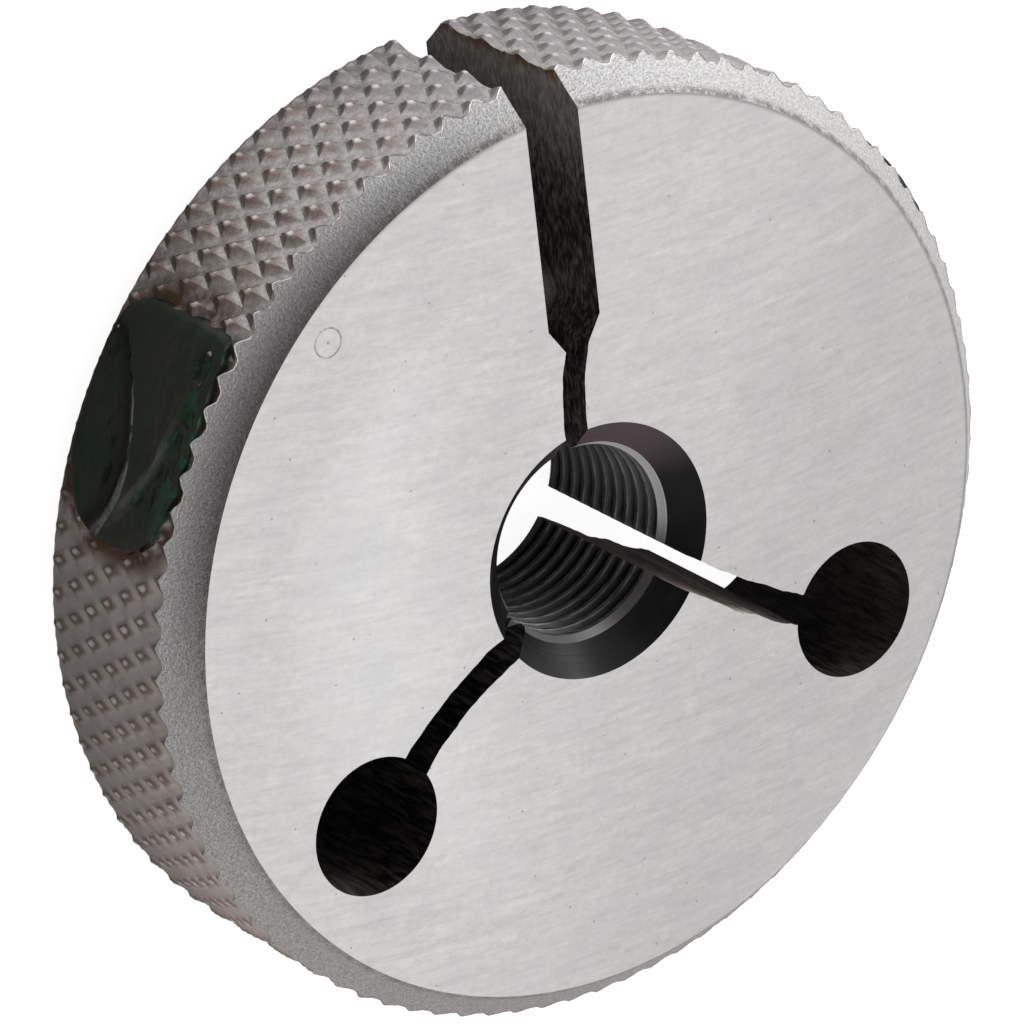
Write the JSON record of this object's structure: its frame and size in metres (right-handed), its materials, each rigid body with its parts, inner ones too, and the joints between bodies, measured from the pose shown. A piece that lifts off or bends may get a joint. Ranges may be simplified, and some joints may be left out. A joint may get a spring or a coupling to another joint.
{
  "type": "thread ring gauge",
  "caption": "Adjustable thread ring gauge: a knurled hardened steel ring with a threaded bore, an adjusting slot, two relief holes and a wax-sealed locking device across the slot.",
  "frame": {"origin": "on the axis of the gauging thread, in the plane of the lower face", "axes": "+Z along the bore, out of the upper face; +Y out through the adjusting slot; the locking device lies along X"},
  "size_m": [0.0444, 0.0444, 0.0111],
  "materials": {
    "hardened_steel": "hardened tool steel: ground faces, blasted bevels, dark knurled rim, black-oxide slots and holes",
    "screw_steel": "turned steel, lightly oiled",
    "sealing_wax": "dark green sealing wax, glossy where it was melted and pressed"
  },
  "bodies": {
    "root": {"ring_body": "hardened_steel", "adjusting_sleeve": "screw_steel", "adjusting_screw": "screw_steel", "locking_screw": "screw_steel", "adjusting_screw_wax": "sealing_wax", "locking_screw_wax": "sealing_wax"}
  },
  "joints": []
}
